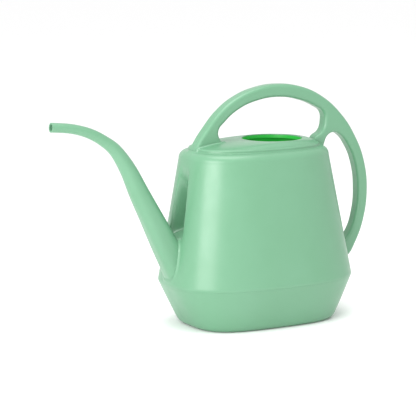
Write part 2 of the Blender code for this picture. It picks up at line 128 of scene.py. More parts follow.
class TankSizes(PropertyGroup):
    """Plan sections, heights and walls of the tank and its pan"""
    foot_length: length("Foot length", "Half length of the foot", 0.0957)
    foot_width: length("Foot width", "Half width of the foot", 0.063)
    foot_squareness: number("Foot squareness", "Power of the foot's oval", 3.2)
    girth_length: length("Girth length", "Half length at the widest place", 0.1246)
    girth_width: length("Girth width", "Half width at the widest place", 0.0825)
    girth_squareness: number("Girth squareness", "Power of the widest oval", 2.6)
    top_length: length("Top length", "Half length under the shoulder", 0.0972)
    top_width: length("Top width", "Half width under the shoulder", 0.0625)
    top_squareness: number("Top squareness", "Power of the top oval", 2.45)
    foot_middle: length("Foot middle", "X of the foot's middle", 0.0019)
    girth_middle: length("Girth middle", "X of the middle at the widest place", 0.0007)
    top_middle: length("Top middle", "X of the middle under the shoulder", -0.0017)
    girth_height: length("Girth height", "Height of the widest place", 0.0555)
    girth_ease: length("Girth ease", "Half the height that the girth is rounded over", 0.0022)
    seam_drop: length("Seam drop", "From the widest place down to the pan's rim", 0.002)
    shoulder_height: length("Shoulder height", "Where the wall starts to roll over", 0.2065)
    shoulder_radius: length("Shoulder radius", "Radius of the rolled shoulder", 0.0105)
    shoulder_turn: FloatProperty(name="Shoulder turn", description="How far the shoulder rolls",
                                 default=radians(76), subtype="ANGLE")
    foot_radius: length("Foot radius", "Radius round the foot", 0.006)
    wall: length("Wall", "Thickness of the moulded wall", 0.0023)
    hairline: length("Hairline", "What shows of the joint between two pieces", 0.0001)
    channel_depth: length("Channel depth", "Depth of the recess behind the spout", 0.028)
    channel_width: length("Channel width", "Half width of the recess at its foot", 0.0185)
    channel_top_width: length("Channel top width", "Half width of the recess at its top", 0.012)
    channel_side: length("Channel side", "Width of each rounded side of the recess", 0.008)
    channel_top: length("Channel top", "Where the recess fades in", 0.204)
    channel_full: length("Channel full", "Where it reaches its depth", 0.140)
    channel_ease: length("Channel ease", "Where it starts to close", 0.128)
    channel_bottom: length("Channel bottom", "Where it has closed", 0.111)


class DeckSizes(PropertyGroup):
    """The raised deck and its filling hole"""
    inset: length("Inset", "From the wall to the deck's edge", 0.012)
    edge_height: length("Edge height", "Height of the deck's edge over the ledge", 0.0046)
    edge_radius: length("Edge radius", "Radius of the deck's rolled edge", 0.0026)
    fullness: number("Fullness", "How soon the dome rises from the deck's edge", 2.5)
    ledge_width: length("Ledge width", "How far the ledge runs in under the deck", 0.005)
    groove_radius: length("Groove radius", "Radius in the corner of the groove", 0.0018)
    hole_radius: length("Hole radius", "Radius of the filling hole", 0.0374)
    hole_offset: length("Hole offset", "From the middle of the can to the hole's", 0.0237)
    hole_rise: length("Hole rise", "Height of the hole's rim over the ledge", 0.0105)
    rim_radius: length("Rim radius", "Radius of the hole's edge", 0.0011)
    lip: length("Lip", "Depth of the turned-down edge of the hole", 0.005)
    skirt: length("Skirt", "How far the deck reaches into the tank's mouth", 0.008)


class HandleSizes(PropertyGroup):
    """The hoop, in two halves"""
    half_depth: length("Half depth", "Half the depth of the hoop across the can",
                       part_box("handle_right")[1].y)
    edge_radius: length("Edge radius", "Radius along the hoop's edges", 0.0044)
    parting: length("Parting", "Gap along the joint between the halves", 0.0001)
    fillet: length("Fillet", "Size of the fillet round the hoop's feet", 0.0042)


class SpoutSizes(PropertyGroup):
    """The gooseneck"""
    wall: length("Wall", "Thickness of the spout's wall", 0.0017)
    fillet: length("Fillet", "Size of the fillet round the spout's root", 0.004)
    sides: IntProperty(name="Sides", description="Faces round the spout", default=72)


class Finish(PropertyGroup):
    """The moulded plastic"""
    colour: FloatVectorProperty(name="Colour", description="Colour of the plastic",
                                subtype="COLOR", default=linear("669778"))
    deep_colour: FloatVectorProperty(name="Deep colour", description="Where the wall is thicker",
                                     subtype="COLOR", default=linear("5F9270"))
    # Painted light: the inside faces get this saturated green and emit light, standing in for the
    # light that comes through the wall.
    painted_inside_light: FloatVectorProperty(name="Inside colour", subtype="COLOR",
                                       description="Inside, where light comes through the wall",
                                       default=linear("2CB040"))
    painted_glow: number("Glow", "Light that comes through the wall to the inside", 0.16)
    roughness: number("Roughness", "Roughness of the satin skin", 0.33)
    grain: length("Grain", "Spacing of the mould's spark-eroded grain", 0.0008)
    ripple: length("Ripple", "Spacing of the slow waves in the skin", 0.022)


class Studio(PropertyGroup):
    """Camera, floor and lights"""
    camera: placing("Camera", "Where the camera stands", (-1.1846, -1.9715, 0.5225))
    target: placing("Target", "What the camera looks at", (-0.05025, 0.03019, 0.1402))
    lens: FloatProperty(name="Lens", description="Focal length on a 36 mm sensor",
                        default=162.3, unit="CAMERA")
    floor_size: length("Floor size", "Side of the square floor", 40.0)
    paper: number("Paper", "Share of the light that the white floor returns", 0.96)
    sky: number("Sky", "Strength of the even white light", 1.03)
    lit: placing("Lit", "What both softboxes face", (0.0, 0.0, 0.14))
    window: FloatProperty(name="Window", description="Power of the softbox at the front left",
                          default=18.5, unit="POWER")
    window_place: placing("Window place", "Middle of the window", (-1.35, -0.86, 0.62))
    window_size: placing("Window size", "Width and height of the window", (1.1, 0.85))
    overhead: FloatProperty(name="Overhead", description="Power of the softbox above",
                            default=16.0, unit="POWER")
    overhead_place: placing("Overhead place", "Middle of the softbox above", (-0.2, -0.3, 1.7))
    overhead_size: placing("Overhead size", "Width and depth of the one above", (1.2, 1.2))


# ---------------------------------------------------------------- shape of the can

def blend(a, b, t):
    return a + (b - a) * t


def smooth(t):
    t = np.clip(t, 0.0, 1.0)
    return t * t * (3.0 - 2.0 * t)


def columns():
    """Directions round the plan, close together under the spout and the handle."""
    fine, coarse = 0.0088, 0.027
    rear_band, front_band, change = 0.17, 0.30, 0.25
    half = [0.0]
    while half[-1] < pi:
        away = min(half[-1] - rear_band, pi - front_band - half[-1])
        half.append(half[-1] + blend(fine, coarse, smooth(away / change)))
    half = np.array(half) * (pi / half[-1])
    return np.concatenate([half, -half[-2:0:-1]])


COLUMNS = columns()


def eased(tank, foot, girth, top, z):
    """A size that runs straight from the foot to the girth and on to the top, rounded between."""
    low_slope = (girth - foot) / tank.girth_height
    high_slope = (top - girth) / (tank.shoulder_height - tank.girth_height)
    over = z - tank.girth_height
    near = np.clip(tank.girth_ease - np.abs(over), 0.0, None)
    straight = girth + np.where(over < 0, low_slope, high_slope) * over
    return straight - near ** 2 * (low_slope - high_slope) / (4 * tank.girth_ease)


def channel(tank, y, z):
    """Depth of the recess behind the spout's root."""
    climb = (z - tank.channel_bottom) / (tank.channel_top - tank.channel_bottom)
    half = blend(tank.channel_width, tank.channel_top_width, np.clip(climb, 0, 1))
    across = smooth((half - np.abs(y)) / tank.channel_side)
    fade_in = smooth((tank.channel_top - z) / (tank.channel_top - tank.channel_full))
    run_out = smooth((z - tank.channel_bottom) / (tank.channel_ease - tank.channel_bottom))
    return tank.channel_depth * across * np.minimum(fade_in, run_out)


def wall_grid(tank, heights, insets=0.0, levels=None):
    """Rings of the tank's wall, moved in by insets. Levels say whose section each ring has."""
    heights = np.asarray(heights, float)[:, None]
    insets = np.zeros_like(heights) + np.reshape(insets, (-1, 1))
    levels = heights if levels is None else np.full_like(heights, levels)
    half_length = eased(tank, tank.foot_length, tank.girth_length, tank.top_length, levels)
    half_width = eased(tank, tank.foot_width, tank.girth_width, tank.top_width, levels)
    power = eased(tank, tank.foot_squareness, tank.girth_squareness, tank.top_squareness, levels)
    middle = eased(tank, tank.foot_middle, tank.girth_middle, tank.top_middle, levels)
    c, s = np.cos(COLUMNS)[None, :], np.sin(COLUMNS)[None, :]
    reach = (np.abs(c / half_length) ** power + np.abs(s / half_width) ** power) ** (-1 / power)
    x, y = reach * c, reach * s
    nx = np.sign(x) * np.abs(x / half_length) ** (power - 1) / half_length
    ny = np.sign(y) * np.abs(y / half_width) ** (power - 1) / half_width
    size = np.hypot(nx, ny)
    x, y = middle + x - nx / size * insets, y - ny / size * insets
    x = x + np.where(x < 0, channel(tank, y, levels), 0.0)
    return np.stack([x, y, heights + np.zeros_like(x)], axis=-1)


def deck_grid(tank, deck, heights, insets, shares):
    """Rings between the deck's oval edge (share 0) and the round hole (share 1)."""
    edge = wall_grid(tank, heights, deck.inset + np.asarray(insets), tank.shoulder_height)
    shares = np.asarray(shares, float)[:, None]
    x = deck.hole_offset + deck.hole_radius * np.cos(COLUMNS)[None, :]
    y = deck.hole_radius * np.sin(COLUMNS)[None, :]
    edge[..., 0] = blend(edge[..., 0], x, shares)
    edge[..., 1] = blend(edge[..., 1], y, shares)
    return edge


def dome(deck, shares):
    """Height of the dome as a share of its rise, from the deck's edge (0) to the hole (1)."""
    return 1.0 - (1.0 - shares) ** deck.fullness


def grid_normals(grid):
    """Outward normals of rings that run anticlockwise and climb."""
    round_about = np.roll(grid, -1, axis=1) - np.roll(grid, 1, axis=1)
    upwards = np.gradient(grid, axis=0)
    normals = np.cross(round_about, upwards)
    return normals / np.maximum(np.linalg.norm(normals, axis=-1, keepdims=True), 1e-12)


def ledge_height(tank):
    return tank.shoulder_height + tank.shoulder_radius * sin(tank.shoulder_turn)


def corner_rise(distance, size):
    """Height of a fillet of that size at a distance from the face it climbs.

    It stops rising a ninth of its size from that face, as its last part would fold the rings.
    """
    return (np.sqrt(size) - np.sqrt(np.clip(distance, size / 9, size))) ** 2


# ---------------------------------------------------------------- handle outline

# Stations on the hoop's outline, X and Z in millimetres: the outer edge from the front
# foot over the top and down the grip, the grip's inner edge, and the arch's inner edge
OUTER_EDGE = [(-92, 206), (-90.6, 217), (-84.2, 229.2), (-73.7, 243.3), (-53.9, 264.9),
              (-29.6, 281.1), (0, 291), (31, 293.9), (62, 289.6), (92, 276.9),
              (121.9, 252.9), (144.8, 221.6), (158.9, 188.3), (163.6, 152), (158.6, 115),
              (147, 86), (134.5, 68), (114, 58)]
GRIP_INNER_EDGE = [(108, 82), (125, 87.5), (138, 101.5), (146, 123), (149, 152),
                   (144.2, 187.5), (132, 213.5), (121, 225.5), (112, 229), (102.5, 225.5),
                   (97.5, 216), (94, 204)]
ARCH_INNER_EDGE = [(79, 212), (83, 224.6), (93.6, 232.5), (97.3, 243), (95.8, 255.2),
                   (84.2, 263.6), (57.7, 273.7), (31, 277.9), (0, 275.2), (-27.4, 265.6),
                   (-47, 251.4), (-56, 240), (-53.3, 230.5), (-44, 223), (-42, 212)]


def hoop_curve():
    """The hoop's outline as a flat curve, drawn with X across and Z up the page."""
    curve = bpy.data.curves.new("hoop", "CURVE")
    curve.dimensions = "2D"
    curve.fill_mode = "NONE"
    curve.resolution_u = 12
    stations = OUTER_EDGE + GRIP_INNER_EDGE + ARCH_INNER_EDGE
    spline = curve.splines.new("BEZIER")
    spline.bezier_points.add(len(stations) - 1)
    for point, (x, z) in zip(spline.bezier_points, stations):
        point.co = (x * MM, z * MM, 0.0)
        point.handle_left_type = "AUTO"
        point.handle_right_type = "AUTO"
    spline.use_cyclic_u = True
    return curve


def evaluated_mesh(made, name):
    """An object's finished mesh as a plain one. The object is removed."""
    bpy.context.view_layer.update()
    graph = bpy.context.evaluated_depsgraph_get()
    mesh = bpy.data.meshes.new_from_object(made.evaluated_get(graph))
    bpy.data.objects.remove(made)
    mesh.name = name
    return mesh


def helper(name, data):
    """A new object in the scene that holds that data."""
    made = bpy.data.objects.new(name, data)
    bpy.context.scene.collection.objects.link(made)
    return made


def hoop_outline():
    """Points along the hoop's outline, X and Z, in metres."""
    mesh = evaluated_mesh(helper("outline", hoop_curve()), "outline")
    points = np.array([vert.co[:2] for vert in mesh.vertices])
    bpy.data.meshes.remove(mesh)
    return points


def outline_distance(points, outline):
    """Signed distance of points to a closed outline, negative inside."""
    start = outline[None]
    along = np.roll(outline, -1, axis=0)[None] - start
    offset = points[:, None] - start
    t = np.clip((offset * along).sum(-1) / np.maximum((along ** 2).sum(-1), 1e-18), 0, 1)
    gap = np.linalg.norm(offset - along * t[..., None], axis=-1).min(axis=1)
    below = offset[..., 1] >= 0
    above_end = offset[..., 1] - along[..., 1] >= 0
    side = along[..., 0] * offset[..., 1] - along[..., 1] * offset[..., 0]
    turns = (below & ~above_end & (side > 0)).sum(1) - (~below & above_end & (side < 0)).sum(1)
    return np.where(turns != 0, -gap, gap)


def hoop_distance(points, handle, outline):
    """Signed distance to the hoop's rounded bar."""
    flat = outline_distance(points[:, [0, 2]], outline) + handle.edge_radius
    deep = np.abs(points[:, 1]) - handle.half_depth + handle.edge_radius
    outside = np.hypot(np.clip(flat, 0, None), np.clip(deep, 0, None))
    return outside + np.minimum(np.maximum(flat, deep), 0) - handle.edge_radius


# ---------------------------------------------------------------- spout path

# Stations on the spout's axis from the tip down, in millimetres: X, Z, half the
# section's depth in the plane Y = 0, half its width across it, and its squareness
SPOUT_AXIS = [(-277, 257.6, 5.8, 5.8, 2), (-257, 255.6, 5.8, 5.8, 2),
              (-241.4, 252.4, 5.9, 5.9, 2), (-225.9, 247, 6.3, 6.3, 2),
              (-210.2, 238.4, 6.8, 6.8, 2), (-193.6, 225.2, 8, 8.2, 2),
              (-177.3, 201.7, 10.1, 10.1, 2), (-162.3, 171.6, 12.1, 12.4, 2.2),
              (-146.5, 141.6, 13.5, 14.2, 2.5), (-130, 110, 15.3, 15.2, 2.9),
              (-117.5, 86, 16.2, 16, 3), (-104.5, 61, 17.3, 16.5, 3)]


def spout_stations(steps=14):
    """A smooth run of stations through the axis, in metres, with the squareness as it is."""
    last = len(SPOUT_AXIS) - 1
    stations = []
    for i in range(last):
        a, b, c, d = (np.array(SPOUT_AXIS[min(max(i + k, 0), last)]) for k in (-1, 0, 1, 2))
        for t in np.arange(steps) / steps:
            stations.append(0.5 * (2 * b + (c - a) * t + (2 * a - 5 * b + 4 * c - d) * t ** 2
                                   + (3 * b - a - 3 * c + d) * t ** 3))
    stations.append(np.array(SPOUT_AXIS[-1], float))
    return np.array(stations) * (MM, MM, MM, MM, 1)


def spout_distance(points):
    """Signed distance to the spout's outer skin, good close to it."""
    stations = spout_stations()
    gap = points[:, None, [0, 2]] - stations[None, :, :2]
    nearest = np.linalg.norm(gap, axis=-1).argmin(axis=1)
    along = np.gradient(stations[:, :2], axis=0)
    along /= np.linalg.norm(along, axis=1, keepdims=True)
    offset = gap[np.arange(len(points)), nearest]
    up = offset[:, 1] * along[nearest, 0] - offset[:, 0] * along[nearest, 1]
    power = stations[nearest, 4]
    share = (np.abs(up / stations[nearest, 2]) ** power
             + np.abs(points[:, 1] / stations[nearest, 3]) ** power) ** (1 / power)
    skin = np.hypot(up, points[:, 1]) * (1 - 1 / np.maximum(share, 1e-6))
    past_root = np.where(nearest == len(stations) - 1, (offset * along[nearest]).sum(-1), 0.0)
    return np.maximum(skin, past_root)


# ---------------------------------------------------------------- skins

def with_fillets(grid, can):
    """The rings raised where the spout and the hoop grow out of them."""
    shape = grid.shape
    points = grid.reshape(-1, 3)
    rise = np.zeros(len(points))
    beside, front = 0.03, -0.05
    near = (np.abs(points[:, 1]) < beside) & (points[:, 0] < front)
    rise[near] = corner_rise(spout_distance(points[near]), can.spout.fillet)
    near = np.abs(points[:, 1]) < can.handle.half_depth + can.handle.fillet
    hoop = corner_rise(hoop_distance(points[near], can.handle, hoop_outline()),
                       can.handle.fillet)
    rise[near] = np.maximum(rise[near], hoop)
    return grid + grid_normals(grid) * rise.reshape(shape[:2])[..., None]


def pan_rows(can):
    """Outside of the pan from the foot's edge to its rim."""
    tank = can.tank
    turn = np.linspace(0, pi / 2, 9)
    heights = tank.foot_radius * (1 - np.cos(turn))
    insets = tank.foot_radius * (1 - np.sin(turn))
    rim = tank.girth_height - tank.seam_drop
    side = np.concatenate([np.linspace(tank.foot_radius, rim - RIM_STEP, 26)[1:], [rim]])
    return wall_grid(tank, np.concatenate([heights, side]),
                     np.concatenate([insets, np.zeros(len(side))]))


def tank_rows(can):
    """Outside of the tank from its lower edge to the bottom of the deck's edge."""
    tank, deck = can.tank, can.deck
    start = tank.girth_height - tank.seam_drop + tank.hairline
    crease = np.linspace(start, tank.girth_height + 1.5 * tank.girth_ease, 12)
    wall = np.linspace(crease[-1], tank.shoulder_height, 86)[1:]
    turn = np.linspace(0, tank.shoulder_turn, 15)[1:]
    heights = tank.shoulder_height + tank.shoulder_radius * np.sin(turn)
    insets = tank.shoulder_radius * (1 - np.cos(turn))
    lower = wall_grid(tank, np.concatenate([crease, wall]))
    away = deck.groove_radius * np.linspace(1, 0.03, 7)
    groove = wall_grid(tank, ledge_height(tank)
                       + (np.sqrt(deck.groove_radius) - np.sqrt(away)) ** 2,
                       deck.inset - away, tank.shoulder_height)
    upper = wall_grid(tank, heights, insets, tank.shoulder_height)
    return np.concatenate([lower, upper, groove])


def deck_rows(can):
    """Outside of the deck from the bottom of its edge to the rim of the hole."""
    tank, deck = can.tank, can.deck
    seat = ledge_height(tank) + tank.hairline
    crown = seat + deck.edge_height
    rise = ledge_height(tank) + deck.hole_rise - crown
    turn = np.linspace(0, pi / 2, 8)
    side = deck_grid(tank, deck, crown - deck.edge_radius * (1 - np.sin(turn)),
                     deck.edge_radius * (1 - np.cos(turn)), np.zeros(len(turn)))
    foot = deck_grid(tank, deck, [seat], [0.0], [0.0])
    shares = np.linspace(0, 1, 60)[1:]
    vault = deck_grid(tank, deck, crown + rise * dome(deck, shares),
                      np.full(len(shares), deck.edge_radius), shares)
    return np.concatenate([foot, side, vault])


def mesh_from_rings(name, grid, closed, inside=None):
    """Quads between rings, from ring number inside on with the inside's material, which carries
    the painted inside light.

    An open run of rings is capped flat at both ends.
    """
    rings, count = grid.shape[:2]
    index = np.arange(rings * count).reshape(rings, count)
    low = index if closed else index[:-1]
    high = np.roll(index, -1, axis=0) if closed else index[1:]
    faces = np.stack([low, np.roll(low, -1, axis=1), np.roll(high, -1, axis=1), high], axis=-1)
    faces = faces.reshape(-1, 4).tolist()
    ring_of = np.repeat(np.arange(len(low)), count).tolist()
    if not closed:
        faces += [index[0, ::-1].tolist(), index[-1].tolist()]
        ring_of += [0, rings]
    mesh = bpy.data.meshes.new(name)
    mesh.from_pydata(grid.reshape(-1, 3).tolist(), [], faces)
    if inside is not None:
        paint(mesh, np.array(ring_of) >= inside)
    bm = bmesh.new()
    bm.from_mesh(mesh)
    if bm.calc_volume(signed=True) < 0:
        bmesh.ops.reverse_faces(bm, faces=bm.faces)
    bm.to_mesh(mesh)
    bm.free()
    return mesh


def paint(mesh, inside):
    """Gives the faces named in inside the second material, the one with the painted inside light.
    """
    mesh.polygons.foreach_set("material_index", inside.astype(np.int32))


def can_outside(can, gap):
    """The closed outside of pan, tank and deck, a gap larger, that the other pieces stand on."""
    grid = with_fillets(np.concatenate([pan_rows(can), tank_rows(can), deck_rows(can)]), can)
    grid = grid + grid_normals(grid) * gap
    return helper("outside", mesh_from_rings("outside", grid, False))


def boolean(made, other, operation):
    modifier = made.modifiers.new(operation.lower(), "BOOLEAN")
    modifier.operation = operation
    modifier.object = other
    modifier.solver = "MANIFOLD"


def place(name, mesh, node, can, sharp=radians(38)):
    """Puts a finished mesh in the scene as a piece that stands for its CAD node."""
    indices = np.zeros(len(mesh.polygons), np.int32)
    mesh.polygons.foreach_get("material_index", indices)
    mesh.materials.clear()
    mesh.materials.append(moulded_polyethylene(can.finish))
    # The second material is the inside's, with the painted green and emitted light standing in for
    # light through the wall.
    if indices.any():
        mesh.materials.append(moulded_polyethylene(can.finish, inside=True))
        mesh.polygons.foreach_set("material_index", indices)
    mesh.shade_smooth()
    mesh.set_sharp_from_angle(angle=sharp)
    made = helper(name, mesh)
    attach(made, BODY)
    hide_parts(node)
    return made


# ---------------------------------------------------------------- material

def add_node(tree, kind, inputs=(), links=(), **settings):
    """Adds a node, sets its properties and input values, and links sockets to its inputs."""
    node = tree.nodes.new(kind)
    for key, value in settings.items():
        setattr(node, key, value)
    for key, value in dict(inputs).items():
        node.inputs[key].default_value = value
    for key, source in dict(links).items():
        tree.links.new(source, node.inputs[key])
    return node


def moulded_polyethylene(finish, inside=False):
    """Blow-moulded polyethylene with a satin skin.

    The mould's fine spark-eroded grain spreads the highlights, slow waves from uneven
    cooling bend them a little, and the colour drifts by a shade with the wall's thickness.
    The inside has a painted deeper green and emits painted glowing light, both standing in for the
    light that comes through the wall.
    """
    name = "polyethylene_inside_painted_glow" if inside else "moulded_polyethylene"
    if name in bpy.data.materials:
        return bpy.data.materials[name]
    made = bpy.data.materials.new(name)
    made.use_nodes = True
    tree = made.node_tree
    shader = tree.nodes["Principled BSDF"]
    shader.inputs["IOR"].default_value = 1.6
    shader.inputs["Metallic"].default_value = 0.0
    # Painted light: the inside faces emit a saturated green although they are no lamp, in place of
    # the light that comes through the wall.
    if inside:
        shader.inputs["Emission Color"].default_value = (*finish.painted_inside_light, 1)
        shader.inputs["Emission Strength"].default_value = finish.painted_glow
    place_in = add_node(tree, "ShaderNodeTexCoord").outputs["Object"]
    drift_spacing, smear_spacing = 0.045, 0.012
    drift = add_node(tree, "ShaderNodeTexNoise", {"Scale": 1 / drift_spacing, "Detail": 2.0},
                     {"Vector": place_in})
    # On the inside both colours of the mix are the painted green that stands in for light through
    # the wall.
    tint = add_node(tree, "ShaderNodeMix",
                    {6: (*(finish.painted_inside_light if inside else finish.deep_colour), 1),
                     7: (*(finish.painted_inside_light if inside else finish.colour), 1)},
                    {0: drift.outputs["Fac"]}, data_type="RGBA")
    tree.links.new(tint.outputs[2], shader.inputs["Base Color"])
    smear = add_node(tree, "ShaderNodeTexNoise", {"Scale": 1 / smear_spacing, "Detail": 4.0},
                     {"Vector": place_in})
    rough = add_node(tree, "ShaderNodeMapRange",
                     {"From Min": 0.3, "From Max": 0.7, "To Min": finish.roughness - 0.03,
                      "To Max": finish.roughness + 0.05}, {"Value": smear.outputs["Fac"]})
    tree.links.new(rough.outputs["Result"], shader.inputs["Roughness"])
    grain = add_node(tree, "ShaderNodeTexNoise",
                     {"Scale": 1 / finish.grain, "Detail": 2.0, "Roughness": 0.6},
                     {"Vector": place_in})
    ripple = add_node(tree, "ShaderNodeTexNoise", {"Scale": 1 / finish.ripple, "Detail": 1.0},
                      {"Vector": place_in})
    waves = add_node(tree, "ShaderNodeBump", {"Strength": 0.25, "Distance": 0.0004},
                     {"Height": ripple.outputs["Fac"]})
    skin = add_node(tree, "ShaderNodeBump", {"Strength": 0.12, "Distance": 0.0002},
                    {"Height": grain.outputs["Fac"], "Normal": waves.outputs["Normal"]})
    tree.links.new(skin.outputs["Normal"], shader.inputs["Normal"])
    return made


# ---------------------------------------------------------------- pieces

class WATERINGCAN_OT_base_pan(Operator):
    """Floor and skirt of the can, up to the crease at its girth"""
    bl_idname = "wateringcan.base_pan"
    bl_label = "Base pan"

    def execute(self, context):
        can = context.scene.watering_can
        tank = can.tank
        outer = with_fillets(pan_rows(can), can)
        floor = [wall_grid(tank, [0.0], tank.foot_radius + spread)
                 for spread in np.linspace(FLOOR_REACH, RIM_STEP, 12)]
        rim = tank.girth_height - tank.seam_drop
        turn = np.linspace(0, pi / 2, 6)
        inner_radius = tank.foot_radius - tank.wall
        heights = np.concatenate([[rim, rim - RIM_SEAT],
                                  tank.wall + inner_radius * (1 - np.sin(turn))])
        insets = np.concatenate([[tank.wall, tank.wall],
                                 tank.wall + inner_radius * (1 - np.cos(turn))])
        inside = wall_grid(tank, heights, insets)
        grid = np.concatenate([*floor, outer, inside])
        mesh = mesh_from_rings("base_pan", grid, False, len(floor) + len(outer))
        place("base_pan", mesh, "base_pan", can)
        return {"FINISHED"}


class WATERINGCAN_OT_tank_shell(Operator):
    """Walls of the can from the girth up, over the shoulder and in to the deck"""
    bl_idname = "wateringcan.tank_shell"
    bl_label = "Tank shell"

    def execute(self, context):
        can = context.scene.watering_can
        tank, deck = can.tank, can.deck
        outer = with_fillets(tank_rows(can), can)
        ledge = ledge_height(tank)
        mouth = deck.inset + deck.ledge_width
        under_deck = wall_grid(tank, [ledge, ledge], [deck.inset - SLIVER, mouth],
                               tank.shoulder_height)
        start = tank.girth_height - tank.seam_drop + tank.hairline
        heights = np.linspace(start, tank.shoulder_height, 42)
        turn = np.linspace(0, tank.shoulder_turn, 8)[1:]
        radius = tank.shoulder_radius - tank.wall
        inside = np.concatenate([
            wall_grid(tank, heights, tank.wall),
            wall_grid(tank, tank.shoulder_height + radius * np.sin(turn),
                      tank.wall + radius * (1 - np.cos(turn)), tank.shoulder_height),
            wall_grid(tank, [ledge - tank.wall], mouth, tank.shoulder_height)])
        grid = np.concatenate([outer, under_deck, inside[::-1]])
        mesh = mesh_from_rings("tank_shell", grid, True, len(outer) + 1)
        place("tank_shell", mesh, "tank_shell", can)
        return {"FINISHED"}


class WATERINGCAN_OT_top_deck(Operator):
    """Raised deck with a rolled edge and a round filling hole"""
    bl_idname = "wateringcan.top_deck"
    bl_label = "Top deck"

    def execute(self, context):
        can = context.scene.watering_can
        tank, deck = can.tank, can.deck
        outer = with_fillets(deck_rows(can), can)[:-1]
        seat = ledge_height(tank) + tank.hairline
        crown = seat + deck.edge_height
        top = ledge_height(tank) + deck.hole_rise
        turn = np.linspace(0, pi / 2, 7)
        over = deck.rim_radius / deck.hole_radius
        rim = deck_grid(tank, deck, top - deck.rim_radius * (1 - np.cos(turn)),
                        np.full(len(turn), deck.edge_radius), 1 - over * (1 - np.sin(turn)))
        lip = deck_grid(tank, deck, [top - deck.lip, top - deck.lip], [deck.edge_radius] * 2,
                        [1.0, 1 - tank.wall / deck.hole_radius])
        skirt = deck.ledge_width + 3 * tank.hairline
        shares = np.linspace(1 - tank.wall / deck.hole_radius, 0, 12)
        rise = top - crown
        under = deck_grid(tank, deck, crown - tank.wall + rise * dome(deck, shares),
                          np.full(len(shares), skirt + tank.wall), shares)
        plug = deck_grid(tank, deck, [seat - deck.skirt, seat - deck.skirt, seat],
                         [skirt + tank.wall, skirt, skirt], [0.0] * 3)
        grid = np.concatenate([outer, rim, lip, under, plug])
        mesh = mesh_from_rings("top_deck", grid, True, len(outer) + len(rim) - 1)
        place("top_deck", mesh, "top_deck", can)
        return {"FINISHED"}


class WATERINGCAN_OT_handle(Operator):
    """Both halves of the hoop, from the front foot over the top and down the grip"""
    bl_idname = "wateringcan.handle"
    bl_label = "Handle halves"

    def execute(self, context):
        can = context.scene.watering_can
        handle = can.handle
        outside = can_outside(can, can.tank.hairline)
        for name, side in (("handle_left", -1), ("handle_right", 1)):
            curve = hoop_curve()
            curve.fill_mode = "BOTH"
            curve.extrude = handle.half_depth - handle.edge_radius
            curve.bevel_depth = handle.edge_radius
            curve.bevel_resolution = 6
            curve.offset = -handle.edge_radius
            mesh = evaluated_mesh(helper("hoop", curve), name)
            bm = bmesh.new()
            bm.from_mesh(mesh)
            bmesh.ops.remove_doubles(bm, verts=bm.verts, dist=MERGE)
            for vert in bm.verts:
                vert.co = Vector((vert.co.x, -vert.co.z, vert.co.y))
            bmesh.ops.recalc_face_normals(bm, faces=bm.faces)
            cut = bmesh.ops.bisect_plane(bm, geom=bm.verts[:] + bm.edges[:] + bm.faces[:],
                                         plane_co=(0, side * handle.parting / 2, 0),
                                         plane_no=(0, -side, 0), clear_outer=True)
            edges = [item for item in cut["geom_cut"] if isinstance(item, bmesh.types.BMEdge)]
            bmesh.ops.triangle_fill(bm, edges=edges, normal=(0, -side, 0))
            bm.to_mesh(mesh)
            bm.free()
            half = helper(name + "_blank", mesh)
            boolean(half, outside, "DIFFERENCE")
            made = place(name, evaluated_mesh(half, name), name, can)
            made.modifiers.new("flat_faces", "WEIGHTED_NORMAL").keep_sharp = True
        bpy.data.objects.remove(outside)
        return {"FINISHED"}


def maths(tree, operation, *values):
    """The result of a math node on sockets or plain numbers."""
    plain = {i: value for i, value in enumerate(values) if isinstance(value, (int, float))}
    links = {i: value for i, value in enumerate(values) if i not in plain}
    return add_node(tree, "ShaderNodeMath", plain, links, operation=operation).outputs[0]


